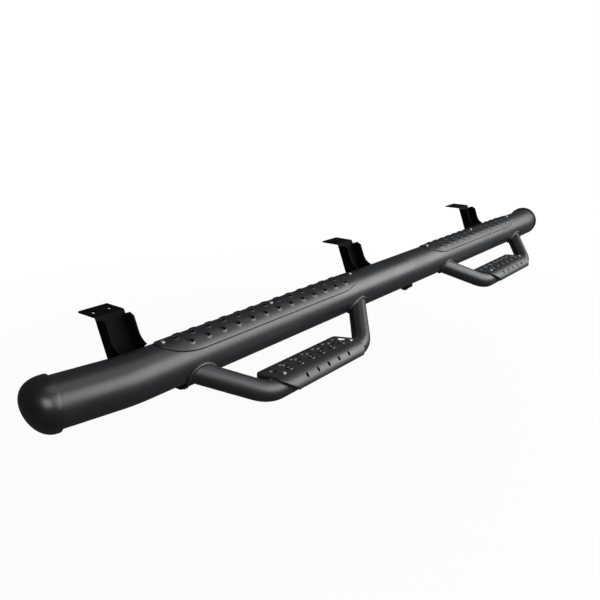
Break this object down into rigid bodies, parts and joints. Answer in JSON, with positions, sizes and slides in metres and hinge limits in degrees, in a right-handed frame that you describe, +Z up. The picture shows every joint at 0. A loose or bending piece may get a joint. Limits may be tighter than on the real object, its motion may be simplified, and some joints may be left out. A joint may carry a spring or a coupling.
{
  "type": "truck side step",
  "caption": "Round-tube side step for a pickup truck, with a hooped lower step and folded grip pad below each door, dimpled tread plates, capped ends and sill brackets.",
  "frame": {"origin": "centre of the middle bracket's sill face, the upper flat of its slotted foot", "axes": "+X along the bar to the front of the truck, +Y in towards the truck, +Z up and out of the sill faces"},
  "size_m": [2.3318, 0.3223, 0.2182],
  "materials": {
    "tube_coat": "satin black powder coat on steel tube",
    "plate_coat": "satin black powder coat on pressed steel plate",
    "bracket_coat": "satin black powder coat on bent steel strip",
    "cap_plastic": "fine grained black moulding",
    "bright_zinc": "bright zinc plated screws and bolts"
  },
  "bodies": {
    "root": {"main_tube": "tube_coat", "rear_hoop": "tube_coat", "front_hoop": "tube_coat", "rear_hoop_rear_weld": "tube_coat", "rear_hoop_front_weld": "tube_coat", "front_hoop_rear_weld": "tube_coat", "front_hoop_front_weld": "tube_coat", "rear_tread": "plate_coat", "front_tread": "plate_coat", "rear_step_pad": "plate_coat", "front_step_pad": "plate_coat", "rear_tread_screw_rear": "bright_zinc", "rear_tread_screw_middle": "bright_zinc", "rear_tread_screw_front": "bright_zinc", "front_tread_screw_rear": "bright_zinc", "front_tread_screw_middle": "bright_zinc", "front_tread_screw_front": "bright_zinc", "rear_pad_screw_rear": "bright_zinc", "rear_pad_screw_front": "bright_zinc", "front_pad_screw_rear": "bright_zinc", "front_pad_screw_front": "bright_zinc", "rear_end_cap": "cap_plastic", "front_end_cap": "cap_plastic", "rear_bracket": "bracket_coat", "middle_bracket": "bracket_coat", "front_bracket": "bracket_coat", "rear_lug": "bracket_coat", "middle_lug": "bracket_coat", "front_lug": "bracket_coat", "rear_lug_bolt": "bright_zinc", "middle_lug_bolt": "bright_zinc", "front_lug_bolt": "bright_zinc"}
  },
  "joints": []
}
